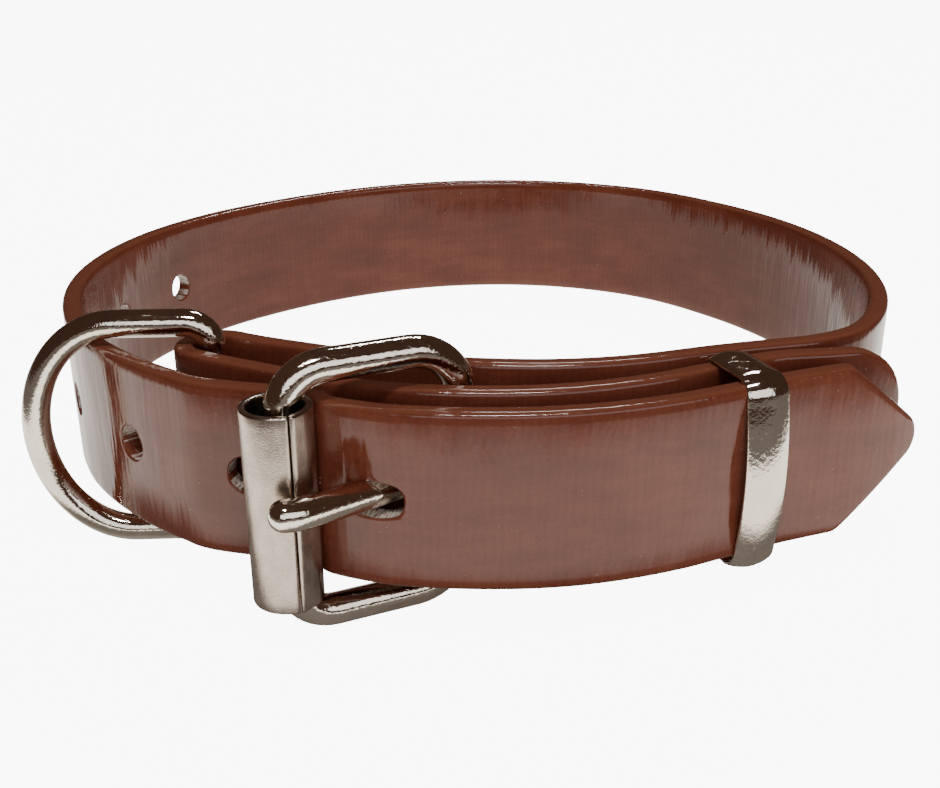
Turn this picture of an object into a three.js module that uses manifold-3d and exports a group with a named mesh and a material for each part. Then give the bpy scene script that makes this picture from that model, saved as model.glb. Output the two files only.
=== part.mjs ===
import * as THREE from 'three';
import { mergeVertices } from 'three/addons/utils/BufferGeometryUtils.js';
import Module from 'manifold-3d';

const wasm = await Module();
wasm.setup();

// Driving dimensions, in millimetres and degrees.
// A turn is counted clockwise from above, starting at the right-hand side: the front is at 90 and again at 450.
const LOOP_WIDTH = 141.0;
const STRAP_WIDTH = 25.4;
const STRAP_THICK = 3.0;
const STRAP_BEVEL = 0.7;
const CLEARANCE = 0.3;
const WIRE_SIDES = 12;

const TAIL_FREE_TURN = 404.0;
const TAIL_FREE_LENGTH = 16.6;
const TAIL_FREE_CURL = 14.0;
const TIP_TAPER = 16.0;
const TIP_ROUND = 4.0;
const RETURN_FREE_TURN = 401.0;
const RETURN_FREE_LENGTH = 11.4;
const RETURN_FREE_CURL = 22.0;
const RETURN_CORNER = 10.0;
const HOLE_DIAMETER = 5.2;
const HOLE_PITCH = 20.9;
const PRONG_PULL = 1.6;
const HOLES_BEHIND_PRONG = 6;

const FOLD_TURN = 491.0;
const FOLD_BORE = 6.0;
const DEE_WIRE = 4.1;
const DEE_HEIGHT = 33.0;
const DEE_STRAIGHT = 13.9;
const DEE_ROUND = 13.1;
const DEE_CORNER = 3.8;
const DEE_SLACK = 0.5;
const DEE_LEAN = 182.5;
const DEE_DROP = 0.8;

const HEEL_TURN = 450.8;
const TAIL_SHOULDER_TURN = 459.0;
const FRAME_WIRE = 4.5;
const FRAME_REACH = 24.9;
const FRAME_HEIGHT = 35.7;
const FRAME_FRONT_CORNER = 6.0;
const FRAME_HEEL_CORNER = 7.2;
const FRAME_LEAN = 24.1;
const BUCKLE_DROP = 0.55;
const ROLLER_DIAMETER = 9.5;
const ROLLER_WALL = 1.0;
const ROLLER_LENGTH = 28.0;
const ROLLER_DROP = 0.4;
const ROLLER_ASIDE = 0.4;
const ROLLER_SEAM_LEAN = 3.4;
const ROLLER_SEAM_SPREAD = 27.0;
const ROLLER_WRAP_RIGHT = 42.0;
const ROLLER_WRAP_LEFT = 14.0;

const PRONG_WIRE = 4.3;
const PRONG_EYE_WALL = 1.2;
const PRONG_EYE_WIDTH = 5.5;
const PRONG_OVERHANG = 3.9;
const PRONG_RISE = 1.9;

const KEEPER_TURN = 414.4;
const KEEPER_WIDTH = 6.2;
const KEEPER_WALL = 1.1;
const KEEPER_CORNER = 2.6;
const KEEPER_PLAY = 0.6;
const KEEPER_DROP = 1.3;
const KEEPER_BOW = 1.2;
const KEEPER_BEVEL = 0.35;

const RIVET_TURN = 406.5;
const RIVET_SHANK = 4.0;
const RIVET_HEAD = 7.0;
const RIVET_HEAD_THICK = 0.9;
const RIVET_SLACK = 0.55;

// Room between the layers of strap, face to face, at what they hold.
const BUCKLE_ROOM = 7.6;
const KEEPER_ROOM = 2.8;
const RIVET_ROOM = 1.6;
const RETURN_ROOM = 2.6;
const TAIL_OVER_BUCKLE = 4.4;
const TAIL_OVER_KEEPER = 4.6;
const TAIL_OVER_RIVET = 4.6;
const TAIL_OVER_RETURN = 2.8;

// The outer face of the single loop, seen from above: its distance from the middle, as a share of half the
// loop's width. From turn 400 on it is the inner layer of the front, which lies flatter.
const LOOP_FACE = [
  { turn: 122, reach: 0.996 },
  { turn: 134, reach: 0.998 },
  { turn: 146, reach: 1.000 },
  { turn: 158, reach: 0.992 },
  { turn: 172, reach: 0.985 },
  { turn: 186, reach: 0.976 },
  { turn: 200, reach: 0.966 },
  { turn: 215, reach: 0.955 },
  { turn: 230, reach: 0.950 },
  { turn: 245, reach: 0.966 },
  { turn: 260, reach: 0.993 },
  { turn: 275, reach: 1.018 },
  { turn: 290, reach: 1.033 },
  { turn: 305, reach: 1.033 },
  { turn: 320, reach: 1.011 },
  { turn: 335, reach: 1.004 },
  { turn: 350, reach: 1.004 },
  { turn: 365, reach: 1.010 },
  { turn: 378, reach: 1.016 },
  { turn: 388, reach: 1.014 },
  { turn: 394, reach: 1.002 },
  { turn: 400, reach: 0.963 },
  { turn: 406, reach: 0.904 },
  { turn: 412, reach: 0.858 },
  { turn: 418, reach: 0.831 },
  { turn: 425, reach: 0.811 },
  { turn: 437, reach: 0.780 },
  { turn: 450, reach: 0.750 },
  { turn: 465, reach: 0.738 },
  { turn: 478, reach: 0.738 },
  { turn: 491, reach: 0.765 },
];

// Room behind and in front of the middle layer, at the turns where something sets it.
const LAYER_ROOM = [
  { turn: RETURN_FREE_TURN, behind: RETURN_ROOM, before: TAIL_OVER_RETURN },
  { turn: RIVET_TURN, behind: RIVET_ROOM, before: TAIL_OVER_RIVET },
  { turn: KEEPER_TURN, behind: KEEPER_ROOM, before: TAIL_OVER_KEEPER },
  { turn: HEEL_TURN, behind: BUCKLE_ROOM, before: TAIL_OVER_BUCKLE },
  { turn: FOLD_TURN, behind: FOLD_BORE, before: TAIL_OVER_BUCKLE },
];

const halfLoop = LOOP_WIDTH / 2;
const midHeight = STRAP_WIDTH / 2;
const buckleHeight = midHeight - BUCKLE_DROP;
const radians = THREE.MathUtils.degToRad;

// A smooth curve through one column of a table whose rows are in order of turn.
function along(rows, turn, column) {
  const last = rows.length - 1;
  const found = rows.findIndex((row) => row.turn >= turn);
  const next = found < 0 ? last : Math.max(found, 1);
  const a = rows[next - 1];
  const b = rows[next];
  const before = rows[Math.max(next - 2, 0)];
  const after = rows[Math.min(next + 1, last)];
  const slopeA = (b[column] - before[column]) / (b.turn - before.turn);
  const slopeB = (after[column] - a[column]) / (after.turn - a.turn);
  const span = b.turn - a.turn;
  const s = (turn - a.turn) / span;
  return a[column] * (1 + 2 * s) * (1 - s) ** 2
    + b[column] * s * s * (3 - 2 * s)
    + slopeA * span * s * (1 - s) ** 2
    - slopeB * span * s * s * (1 - s);
}

function facePoint(turn) {
  const reach = along(LOOP_FACE, turn, 'reach') * halfLoop;
  return new THREE.Vector2(reach * Math.cos(radians(turn)), -reach * Math.sin(radians(turn)));
}

// Outward normal of the loop's face, and the way the strap runs there, clockwise.
function faceNormal(turn) {
  const step = 0.5;
  const run = facePoint(turn + step).sub(facePoint(turn - step)).normalize();
  return new THREE.Vector2(-run.y, run.x);
}

function outside(turn, distance) {
  return facePoint(turn).addScaledVector(faceNormal(turn), distance);
}

const behind = (turn) => along(LAYER_ROOM, turn, 'behind');
const before = (turn) => along(LAYER_ROOM, turn, 'before');
const innerLayer = (turn) => outside(turn, -STRAP_THICK / 2);
const middleLayer = (turn) => outside(turn, behind(turn) + STRAP_THICK / 2);
const tailLayer = (turn) => outside(turn, behind(turn) + before(turn) + STRAP_THICK * 1.5);

const rivetCentre = outside(RIVET_TURN, behind(RIVET_TURN) / 2);

// The buckle's two bars: the heel bar lies against the middle layer, the roller bar a frame's length further.
const heel = outside(HEEL_TURN, behind(HEEL_TURN) - CLEARANCE - FRAME_WIRE / 2);
const frameAngle = Math.PI + radians(FRAME_LEAN);
const frameRun = new THREE.Vector2(Math.cos(frameAngle), Math.sin(frameAngle));
const rollerBar = heel.clone().addScaledVector(frameRun, FRAME_REACH);
const rollerMiddle = rollerBar.clone().add(new THREE.Vector2(-ROLLER_ASIDE, 0));

// The fold round the ring's bar, and the bar drawn up against the fold's end.
const foldCentre = outside(FOLD_TURN, FOLD_BORE / 2);
const deeAngle = radians(DEE_LEAN);
const deeRun = new THREE.Vector2(Math.cos(deeAngle), Math.sin(deeAngle));
const deeBar = foldCentre.clone().addScaledVector(deeRun, FOLD_BORE / 2 - DEE_WIRE / 2 - DEE_SLACK);

// A free end leaves the layer below it and curls in a little, as stiff tape does.
function freeEnd(layer, turn, length, curl) {
  const pieces = Math.ceil(length / 3);
  const point = layer(turn);
  const heading = point.clone().sub(layer(turn + 1)).angle();
  const points = [];
  for (let i = 0; i < pieces; i += 1) {
    const angle = heading + radians(curl) * ((i + 0.5) / pieces);
    point.add(new THREE.Vector2(Math.cos(angle), Math.sin(angle)).multiplyScalar(length / pieces));
    points.push(point.clone());
  }
  return points;
}

// Middle line of the strap as it is laid: tail, under the roller, round the loop, fold, middle layer.
function strapRoute() {
  const points = [];
  const step = 4;
  points.push(...freeEnd(tailLayer, TAIL_FREE_TURN, TAIL_FREE_LENGTH, TAIL_FREE_CURL).reverse());
  for (let turn = TAIL_FREE_TURN; turn < TAIL_SHOULDER_TURN; turn += step) points.push(tailLayer(turn));
  points.push(tailLayer(TAIL_SHOULDER_TURN));
  const pressed = ROLLER_DIAMETER / 2 + CLEARANCE + STRAP_THICK / 2;
  const inward = rollerMiddle.clone().negate().setLength(pressed);
  const wraps = 4;
  for (let i = 0; i <= wraps; i += 1) {
    const wrap = THREE.MathUtils.lerp(-ROLLER_WRAP_RIGHT, ROLLER_WRAP_LEFT, i / wraps);
    points.push(inward.clone().rotateAround(new THREE.Vector2(), radians(wrap)).add(rollerMiddle));
  }
  for (let turn = LOOP_FACE[0].turn; turn < FOLD_TURN; turn += step) points.push(innerLayer(turn));
  const foldStart = faceNormal(FOLD_TURN).negate().angle();
  const foldSteps = 8;
  const foldRadius = FOLD_BORE / 2 + STRAP_THICK / 2;
  for (let i = 0; i <= foldSteps; i += 1) {
    const angle = foldStart + Math.PI * (i / foldSteps);
    points.push(new THREE.Vector2(Math.cos(angle), Math.sin(angle)).multiplyScalar(foldRadius).add(foldCentre));
  }
  for (let turn = FOLD_TURN - step; turn > RETURN_FREE_TURN + 1; turn -= step) points.push(middleLayer(turn));
  points.push(middleLayer(RETURN_FREE_TURN));
  points.push(...freeEnd(middleLayer, RETURN_FREE_TURN, RETURN_FREE_LENGTH, RETURN_FREE_CURL));
  return points;
}

const routeCurve = new THREE.CatmullRomCurve3(
  strapRoute().map((point) => new THREE.Vector3(point.x, point.y, 0)),
  false,
  'centripetal',
);
routeCurve.arcLengthDivisions = 2000;
const routeLength = routeCurve.getLength();

// The route as a line of short pieces, shorter where its points lie close together.
function routePieces() {
  const spans = routeCurve.points.length - 1;
  const longest = 3.2;
  const line = [];
  for (let i = 0; i < spans; i += 1) {
    const pieces = Math.ceil(routeCurve.points[i].distanceTo(routeCurve.points[i + 1]) / longest);
    for (let k = 0; k < pieces; k += 1) line.push(routeCurve.getPoint((i + k / pieces) / spans));
  }
  line.push(routeCurve.getPoint(1));
  return line.map((point) => new THREE.Vector2(point.x, point.y));
}

const routeLine = routePieces();

// Point, run and left-hand normal of the strap at a length from the pointed tip.
function strapAt(length) {
  const u = THREE.MathUtils.clamp(length / routeLength, 0, 1);
  const point = routeCurve.getPointAt(u);
  const run = routeCurve.getTangentAt(u);
  return { point: new THREE.Vector2(point.x, point.y), run: new THREE.Vector2(run.x, run.y).normalize() };
}

function solid(geometry) {
  const bare = geometry.index ? geometry.toNonIndexed() : geometry.clone();
  bare.deleteAttribute('normal');
  bare.deleteAttribute('uv');
  const merged = mergeVertices(bare, 1e-4);
  const mesh = new wasm.Mesh({
    numProp: 3,
    vertProperties: Float32Array.from(merged.attributes.position.array),
    triVerts: Uint32Array.from(merged.index.array),
  });
  return new wasm.Manifold(mesh);
}

function geometryOf(manifold) {
  const mesh = manifold.getMesh();
  const geometry = new THREE.BufferGeometry();
  geometry.setAttribute('position', new THREE.BufferAttribute(mesh.vertProperties, 3));
  geometry.setIndex(new THREE.BufferAttribute(mesh.triVerts, 1));
  geometry.computeVertexNormals();
  return geometry;
}

// Places a geometry whose own Z runs out of the strap's face and whose own Y is up.
function facing(geometry, point, out, height) {
  const zAxis = new THREE.Vector3(out.x, out.y, 0);
  const yAxis = new THREE.Vector3(0, 0, 1);
  const xAxis = new THREE.Vector3().crossVectors(yAxis, zAxis);
  const matrix = new THREE.Matrix4().makeBasis(xAxis, yAxis, zAxis);
  matrix.setPosition(point.x, point.y, height);
  return geometry.applyMatrix4(matrix);
}

function upright(radius, length, centre, height, sides) {
  const cylinder = new THREE.CylinderGeometry(radius, radius, length, sides);
  cylinder.rotateX(Math.PI / 2);
  return cylinder.translate(centre.x, centre.y, height);
}

function roundSection(radius, sides) {
  const shape = new THREE.Shape();
  shape.absarc(0, 0, radius, 0, Math.PI * 2, false);
  return new THREE.Shape(shape.getPoints(sides / 2).slice(0, -1));
}

// Cuts everything beyond an end of the strap that lies outside the given outline. The outline runs from the
// lower edge to the upper one, x back along the strap from its end, y from the middle of its width.
function trimEnd(strap, end, back, outline, depth) {
  const margin = 4;
  const furthest = Math.max(...outline.map((corner) => corner.x));
  const cutter = new THREE.Shape([
    new THREE.Vector2(furthest, -midHeight - margin),
    ...outline,
    new THREE.Vector2(furthest, midHeight + margin),
    new THREE.Vector2(-margin, midHeight + margin),
    new THREE.Vector2(-margin, -midHeight - margin),
  ].reverse());
  const block = new THREE.ExtrudeGeometry(cutter, { depth, bevelEnabled: false });
  block.translate(0, 0, -depth / 2);
  const out = new THREE.Vector2(back.y, -back.x);
  return strap.subtract(solid(facing(block, end, out, midHeight)));
}

// Pointed tail: two straight cuts that meet in a round tip.
function tipOutline() {
  const half = Math.atan2(midHeight, TIP_TAPER);
  const centre = TIP_ROUND / Math.sin(half);
  const shift = centre - TIP_ROUND;
  const taper = TIP_TAPER - shift;
  const outline = [new THREE.Vector2(taper, -midHeight)];
  const steps = 6;
  for (let i = 0; i <= steps; i += 1) {
    const angle = Math.PI + (Math.PI / 2 - half) * (1 - (2 * i) / steps);
    outline.push(new THREE.Vector2(TIP_ROUND + TIP_ROUND * Math.cos(angle), TIP_ROUND * Math.sin(angle)));
  }
  outline.push(new THREE.Vector2(taper, midHeight));
  return outline;
}

// The return end is cut square and its two corners are rounded.
function returnOutline() {
  const side = midHeight - RETURN_CORNER;
  const end = new THREE.Path();
  end.moveTo(RETURN_CORNER, -midHeight);
  end.absarc(RETURN_CORNER, -side, RETURN_CORNER, -Math.PI / 2, -Math.PI, true);
  end.absarc(RETURN_CORNER, side, RETURN_CORNER, Math.PI, Math.PI / 2, true);
  return end.getPoints(2);
}

// The line of the prong's shank: from the heel bar through the tail and over the roller.
const frameOut = new THREE.Vector2(-frameRun.y, frameRun.x);
const seamReach = ROLLER_DIAMETER / 2 / Math.cos(radians(ROLLER_SEAM_SPREAD));
const prongCrest = rollerMiddle.clone().addScaledVector(frameOut, seamReach + CLEARANCE + PRONG_WIRE / 2);
const prongEnd = prongCrest.clone().addScaledVector(frameRun, PRONG_OVERHANG - PRONG_WIRE / 2);
const shankRun = prongCrest.clone().sub(heel).normalize();

// Length along the tail at which the shank crosses it.
function prongHoleLength() {
  let best = 0;
  let nearest = Infinity;
  for (let length = 0; length < LOOP_WIDTH; length += 0.25) {
    const offset = strapAt(length).point.sub(heel);
    const miss = Math.abs(offset.cross(shankRun));
    if (miss < nearest && offset.dot(shankRun) > 0) {
      nearest = miss;
      best = length;
    }
  }
  return best;
}

function prongPath(extraStart) {
  const eye = FRAME_WIRE / 2 + CLEARANCE;
  const start = heel.clone().addScaledVector(shankRun, eye + extraStart);
  const middle = heel.clone().lerp(prongCrest, 0.6);
  const route = [start, middle, prongCrest, prongEnd];
  const run = heel.distanceTo(prongEnd);
  const lift = (point) => buckleHeight + PRONG_RISE * (point.distanceTo(heel) / run);
  return new THREE.CatmullRomCurve3(route.map((point) => new THREE.Vector3(point.x, point.y, lift(point))));
}

function sweep(path, radius, steps) {
  return new THREE.ExtrudeGeometry(roundSection(radius, WIRE_SIDES), {
    steps, extrudePath: path, bevelEnabled: false,
  });
}

// Slot in the middle layer: it lets the prong's eye and, slanting away to the left, its shank through.
function prongSlot() {
  const out = faceNormal(HEEL_TURN);
  const slant = Math.abs(shankRun.angleTo(out));
  const outerFace = FRAME_WIRE / 2 + CLEARANCE + STRAP_THICK;
  const margin = 0.6;
  const right = FRAME_WIRE / 2 + CLEARANCE + PRONG_EYE_WALL + margin;
  const left = outerFace * Math.tan(slant) + PRONG_WIRE / 2 / Math.cos(slant) + margin;
  const across = new THREE.Vector2(-out.y, out.x);
  const middle = heel.clone().addScaledVector(out, outerFace - STRAP_THICK / 2);
  middle.addScaledVector(across, (right - left) / 2);
  const slot = new THREE.BoxGeometry(left + right, PRONG_EYE_WIDTH + 2 * margin, STRAP_THICK * 1.6);
  return facing(slot, middle, out, buckleHeight);
}

function buildStrap() {
  const side = (sign) => routeLine.map((point, i) => {
    const from = routeLine[Math.max(i - 1, 0)];
    const to = routeLine[Math.min(i + 1, routeLine.length - 1)];
    const run = to.clone().sub(from).normalize();
    return new THREE.Vector2(point.x - run.y * sign * STRAP_THICK / 2, point.y + run.x * sign * STRAP_THICK / 2);
  });
  const ribbon = new THREE.Shape([...side(1), ...side(-1).reverse()]);
  const body = new THREE.ExtrudeGeometry(ribbon, {
    depth: STRAP_WIDTH - 2 * STRAP_BEVEL,
    bevelThickness: STRAP_BEVEL,
    bevelSize: STRAP_BEVEL,
    bevelOffset: -STRAP_BEVEL,
    bevelSegments: 1,
  });
  body.translate(0, 0, STRAP_BEVEL);
  let strap = solid(body);
  const tip = strapAt(0);
  strap = trimEnd(strap, tip.point, tip.run, tipOutline(), STRAP_THICK * 2.4);
  const end = strapAt(routeLength);
  strap = trimEnd(strap, end.point, end.run.negate(), returnOutline(), STRAP_THICK * 1.5);
  const first = prongHoleLength();
  const holeSides = 16;
  for (let i = 0; i <= HOLES_BEHIND_PRONG; i += 1) {
    const place = strapAt(first - PRONG_PULL + i * HOLE_PITCH);
    const drill = new THREE.CylinderGeometry(HOLE_DIAMETER / 2, HOLE_DIAMETER / 2, STRAP_THICK * 2, holeSides);
    drill.rotateX(Math.PI / 2);
    strap = strap.subtract(solid(facing(drill, place.point, new THREE.Vector2(-place.run.y, place.run.x), midHeight)));
  }
  strap = strap.subtract(solid(sweep(prongPath(STRAP_THICK), PRONG_WIRE / 2 + CLEARANCE, 12)));
  strap = strap.subtract(solid(prongSlot()));
  const rivetBore = new THREE.CylinderGeometry(
    RIVET_SHANK / 2 + CLEARANCE, RIVET_SHANK / 2 + CLEARANCE, behind(RIVET_TURN) + STRAP_THICK * 3, WIRE_SIDES,
  );
  rivetBore.rotateX(Math.PI / 2);
  strap = strap.subtract(solid(facing(rivetBore, rivetCentre, faceNormal(RIVET_TURN), midHeight)));
  return geometryOf(strap);
}

// A wire bent into a closed outline whose two ends butt together at the outline's first point.
function closedWire(outline, radius, steps) {
  const path = new THREE.CurvePath();
  const gap = 0.2;
  const first = outline[0];
  const points = [...outline, first];
  for (let i = 0; i < points.length - 1; i += 1) {
    const from = points[i].clone();
    const to = points[i + 1].clone();
    if (i === 0) from.addScaledVector(to.clone().sub(from).normalize(), gap);
    if (i === points.length - 2) to.addScaledVector(from.clone().sub(to).normalize(), gap);
    path.add(new THREE.LineCurve3(from, to));
  }
  const wire = solid(sweep(path, radius, steps));
  const seam = new THREE.CylinderGeometry(radius * 0.94, radius * 0.94, 4 * gap + radius, WIRE_SIDES);
  seam.rotateX(Math.PI / 2);
  seam.translate(first.x, first.y, first.z);
  return wire.add(solid(seam));
}

// Quarter bends, as points of an upright outline: out along a run, height up.
function bend(out, height, radiusOut, radiusUp, startAngle, sweepAngle, steps) {
  const points = [];
  for (let i = 0; i <= steps; i += 1) {
    const angle = startAngle + sweepAngle * (i / steps);
    points.push({ out: out + radiusOut * Math.cos(angle), height: height + radiusUp * Math.sin(angle) });
  }
  return points;
}

function standUp(points, origin, run, level) {
  return points.map(({ out, height }) => new THREE.Vector3(
    origin.x + run.x * out, origin.y + run.y * out, level + height,
  ));
}

function buildFrame() {
  const quarter = Math.PI / 2;
  const high = FRAME_HEIGHT / 2;
  const front = FRAME_FRONT_CORNER;
  const rear = FRAME_HEEL_CORNER;
  const outline = [
    { out: FRAME_REACH, height: 0 },
    ...bend(FRAME_REACH - front, high - front, front, front, 0, quarter, 6),
    ...bend(rear, high - rear, rear, rear, quarter, quarter, 6),
    ...bend(rear, rear - high, rear, rear, 2 * quarter, quarter, 6),
    ...bend(FRAME_REACH - front, front - high, front, front, 3 * quarter, quarter, 6),
  ];
  return geometryOf(closedWire(standUp(outline, heel, frameRun, buckleHeight), FRAME_WIRE / 2, 84));
}

function buildDee() {
  const quarter = Math.PI / 2;
  const high = DEE_HEIGHT / 2;
  const corner = DEE_CORNER;
  const outline = [
    { out: 0, height: 0 },
    ...bend(corner, high - corner, corner, corner, 2 * quarter, -quarter, 4),
    ...bend(DEE_STRAIGHT, 0, DEE_ROUND, high, quarter, -2 * quarter, 18),
    ...bend(corner, corner - high, corner, corner, 3 * quarter, -quarter, 4),
  ];
  return geometryOf(closedWire(standUp(outline, deeBar, deeRun, midHeight - DEE_DROP), DEE_WIRE / 2, 84));
}

// Roller: sheet rolled round the bar, its two edges meeting in a blunt corner at the front.
function rollerOutline(inset) {
  const radius = ROLLER_DIAMETER / 2 - inset;
  const half = radians(ROLLER_SEAM_SPREAD);
  const round = new THREE.Path();
  round.absarc(0, 0, radius, half, 2 * Math.PI - half, false);
  return [new THREE.Vector2(radius / Math.cos(half), 0), ...round.getPoints(14)];
}

function buildRoller() {
  const shape = new THREE.Shape(rollerOutline(0));
  shape.holes.push(new THREE.Path(rollerOutline(ROLLER_WALL).reverse()));
  const tube = new THREE.ExtrudeGeometry(shape, { depth: ROLLER_LENGTH, bevelEnabled: false });
  tube.translate(0, 0, -ROLLER_LENGTH / 2);
  tube.rotateZ(frameOut.angle() + radians(ROLLER_SEAM_LEAN));
  return tube.translate(rollerMiddle.x, rollerMiddle.y, buckleHeight - ROLLER_DROP);
}

function buildProng() {
  const boreRadius = FRAME_WIRE / 2 + CLEARANCE;
  const eye = solid(upright(boreRadius + PRONG_EYE_WALL, PRONG_EYE_WIDTH, heel, buckleHeight, 20));
  const shank = solid(sweep(prongPath(0.1), PRONG_WIRE / 2, 14));
  const endHeight = buckleHeight + PRONG_RISE;
  const tip = new THREE.SphereGeometry(PRONG_WIRE / 2 * 0.98, WIRE_SIDES, 8);
  tip.rotateZ(frameAngle);
  tip.translate(prongEnd.x, prongEnd.y, endHeight);
  const bore = solid(upright(boreRadius, PRONG_EYE_WIDTH * 2, heel, buckleHeight, 20));
  return geometryOf(eye.add(shank).add(solid(tip)).subtract(bore));
}

// Keeper: a flat band closed round the middle layer and the tail, its front bowed.
function keeperOutline(inset) {
  const rear = behind(KEEPER_TURN) - KEEPER_PLAY - KEEPER_WALL + inset;
  const front = behind(KEEPER_TURN) + before(KEEPER_TURN) + 2 * STRAP_THICK + KEEPER_PLAY + KEEPER_WALL - inset;
  const half = midHeight + CLEARANCE + KEEPER_DROP / 2 + KEEPER_WALL - inset;
  const corner = KEEPER_CORNER - inset;
  const shape = new THREE.Shape();
  shape.absarc(front - corner, half - corner, corner, 0, Math.PI / 2, false);
  shape.absarc(rear + corner, half - corner, corner, Math.PI / 2, Math.PI, false);
  shape.absarc(rear + corner, corner - half, corner, Math.PI, 1.5 * Math.PI, false);
  shape.absarc(front - corner, corner - half, corner, 1.5 * Math.PI, 2 * Math.PI, false);
  shape.quadraticCurveTo(front + 2 * KEEPER_BOW, 0, front, half - corner);
  return shape.getPoints(4);
}

function buildKeeper() {
  const shape = new THREE.Shape(keeperOutline(0));
  shape.holes.push(new THREE.Path(keeperOutline(KEEPER_WALL).reverse()));
  const band = new THREE.ExtrudeGeometry(shape, {
    depth: KEEPER_WIDTH - 2 * KEEPER_BEVEL,
    bevelThickness: KEEPER_BEVEL,
    bevelSize: KEEPER_BEVEL,
    bevelOffset: -KEEPER_BEVEL,
    bevelSegments: 1,
  });
  band.translate(0, 0, KEEPER_BEVEL - KEEPER_WIDTH / 2);
  const out = faceNormal(KEEPER_TURN);
  const xAxis = new THREE.Vector3(out.x, out.y, 0);
  const yAxis = new THREE.Vector3(0, 0, 1);
  const zAxis = new THREE.Vector3().crossVectors(xAxis, yAxis);
  const matrix = new THREE.Matrix4().makeBasis(xAxis, yAxis, zAxis);
  const foot = facePoint(KEEPER_TURN);
  matrix.setPosition(foot.x, foot.y, midHeight - KEEPER_DROP / 2);
  return band.applyMatrix4(matrix);
}

// Rivet: one turned pin with two flat heads, through the inner and the middle layer.
function buildRivet() {
  const grip = 2 * STRAP_THICK + behind(RIVET_TURN) + 2 * RIVET_SLACK;
  const near = -grip / 2;
  const far = grip / 2;
  const profile = [
    new THREE.Vector2(0, near - RIVET_HEAD_THICK),
    new THREE.Vector2(RIVET_HEAD / 2, near - RIVET_HEAD_THICK),
    new THREE.Vector2(RIVET_HEAD / 2, near),
    new THREE.Vector2(RIVET_SHANK / 2, near),
    new THREE.Vector2(RIVET_SHANK / 2, far),
    new THREE.Vector2(RIVET_HEAD / 2, far),
    new THREE.Vector2(RIVET_HEAD / 2, far + RIVET_HEAD_THICK),
    new THREE.Vector2(0, far + RIVET_HEAD_THICK),
  ];
  const pin = new THREE.LatheGeometry(profile, 16);
  pin.rotateX(Math.PI / 2);
  return facing(pin, rivetCentre, faceNormal(RIVET_TURN), midHeight);
}

const coating = new THREE.MeshStandardMaterial({ color: 0x6e3a26, roughness: 0.22, metalness: 0.0 });
const nickel = new THREE.MeshStandardMaterial({ color: 0xcfc8bf, roughness: 0.16, metalness: 1.0 });
const brushed = new THREE.MeshStandardMaterial({ color: 0xb9b1a6, roughness: 0.38, metalness: 1.0 });

const collar = new THREE.Group();
const pieces = [
  { name: 'strap', geometry: buildStrap(), material: coating },
  { name: 'dee_ring', geometry: buildDee(), material: nickel },
  { name: 'buckle_frame', geometry: buildFrame(), material: nickel },
  { name: 'buckle_roller', geometry: buildRoller(), material: brushed },
  { name: 'buckle_prong', geometry: buildProng(), material: nickel },
  { name: 'keeper', geometry: buildKeeper(), material: nickel },
  { name: 'return_rivet', geometry: buildRivet(), material: brushed },
];
for (const { name, geometry, material } of pieces) {
  const mesh = new THREE.Mesh(geometry, material.clone());
  mesh.name = name;
  collar.add(mesh);
}

// At rest the buckle's lower side holds the front of the loop up, and the back lies on its lower edge.
const hang = (FRAME_HEIGHT + FRAME_WIRE) / 2 - buckleHeight;
const backReach = along(LOOP_FACE, 270, 'reach') * halfLoop;
collar.rotation.x = -Math.atan2(hang, backReach - (heel.y + rollerBar.y) / 2);
const part = new THREE.Group();
part.add(collar);
part.updateMatrixWorld(true);
const box = new THREE.Box3().setFromObject(part, true);
const centre = box.getCenter(new THREE.Vector3());
collar.position.set(-centre.x, -centre.y, -box.min.z);

export default part;
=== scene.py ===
# Dog collar, unworn, standing on its lower edge. Lengths are in millimetres in the collar's own frame,
# which has X to the right, Y away from the buckle and Z up from the strap's lower edge; stand() puts them
# in place.
import math

import bmesh
import bpy
import numpy as np
from mathutils import Matrix

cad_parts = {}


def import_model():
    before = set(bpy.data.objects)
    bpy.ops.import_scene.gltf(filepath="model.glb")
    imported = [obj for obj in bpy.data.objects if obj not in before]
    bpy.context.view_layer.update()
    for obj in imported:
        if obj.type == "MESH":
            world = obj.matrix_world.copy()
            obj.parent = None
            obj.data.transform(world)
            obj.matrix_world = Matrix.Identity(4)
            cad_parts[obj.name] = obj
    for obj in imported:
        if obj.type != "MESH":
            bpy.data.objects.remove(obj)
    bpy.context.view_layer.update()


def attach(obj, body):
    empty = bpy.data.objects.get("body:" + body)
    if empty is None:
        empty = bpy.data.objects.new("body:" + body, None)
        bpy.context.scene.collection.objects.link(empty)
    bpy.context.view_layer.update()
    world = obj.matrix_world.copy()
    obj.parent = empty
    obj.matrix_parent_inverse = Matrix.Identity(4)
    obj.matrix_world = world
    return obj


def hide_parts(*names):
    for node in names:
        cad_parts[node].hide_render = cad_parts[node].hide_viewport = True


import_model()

# Strap: one woven tape, 25.4 mm wide and 3 mm thick, sealed in a glossy brown coating that rounds its
# edges. It runs from the pointed tail behind the roller, round the loop and the ring's bar, and back along
# the front. The holes are punched last, so the tape's pale fibres show in their walls.
loop_half = 70.5
strap_wide = 25.4
strap_thick = 3.0
strap_edge = 0.85
clearance = 0.3
half_wide = strap_wide / 2
half_thick = strap_thick / 2
lean = math.radians(-3.39214)
stands_at = np.array([-0.9622, 2.0456, 4.3127])
face_turns = np.array([
    122, 134, 146, 158, 172, 186, 200, 215, 230, 245, 260, 275, 290, 305, 320, 335,
    350, 365, 378, 388, 394, 400, 406, 412, 418, 425, 437, 450, 465, 478, 491], float)
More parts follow.
